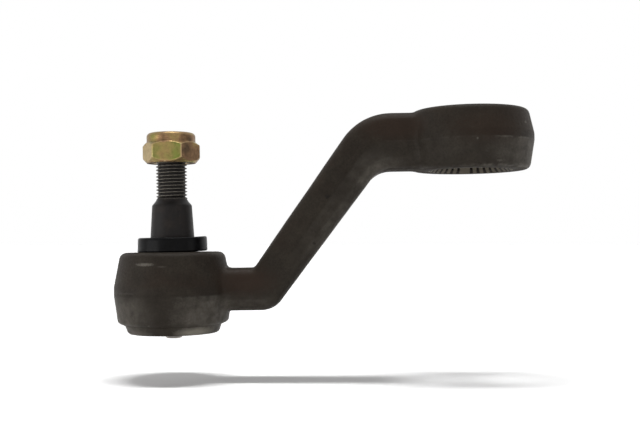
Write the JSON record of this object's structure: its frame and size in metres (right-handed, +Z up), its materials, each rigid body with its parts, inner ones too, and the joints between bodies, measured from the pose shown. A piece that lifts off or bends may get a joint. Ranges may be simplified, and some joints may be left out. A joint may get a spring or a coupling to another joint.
{
  "type": "pitman arm",
  "caption": "Cranked forged steering arm with a serrated eye at one end and a ball stud with dust seal and lock nut at the other.",
  "frame": {"origin": "on the axis of the eye's serrated bore, in the eye's forging parting plane", "axes": "+Z up the bore axis and along the ball stud, +X from the ball stud to the eye"},
  "size_m": [0.1912, 0.0576, 0.1013],
  "materials": {
    "forged_steel": "dark phosphate over a forged skin",
    "black_steel": "black oxide, turned and oiled",
    "acetal": "plain moulded",
    "spring_steel": "oiled",
    "bright_zinc": "bright zinc plate",
    "rubber": "matt moulded",
    "yellow_zinc": "yellow passivated zinc plate",
    "nylon": "plain moulded"
  },
  "bodies": {
    "arm": {"drop_arm": "forged_steel", "upper_bearing": "acetal", "disc_spring": "spring_steel", "cover_plate": "forged_steel", "grease_plug": "bright_zinc"},
    "seat": {"lower_bearing": "acetal"},
    "seal": {"dust_seal": "rubber"},
    "stud": {"ball_stud": "black_steel", "lock_nut": "yellow_zinc", "nut_insert": "nylon"}
  },
  "joints": [
    {"name": "seat_turn", "type": "hinge", "parent": "arm", "child": "seat", "pos_m": [-0.1359, 0, -0.0661], "axis": [0, 0, 1], "continuous": true},
    {"name": "stud_swing", "type": "hinge", "parent": "seat", "child": "seal", "pos_m": [-0.1359, 0, -0.0661], "axis": [0, 1, 0], "range_deg": [-15, 15], "deforming": ["dust_seal"]},
    {"name": "stud_spin", "type": "hinge", "parent": "seal", "child": "stud", "pos_m": [-0.1359, 0, -0.0661], "axis": [0, 0, 1], "continuous": true}
  ]
}
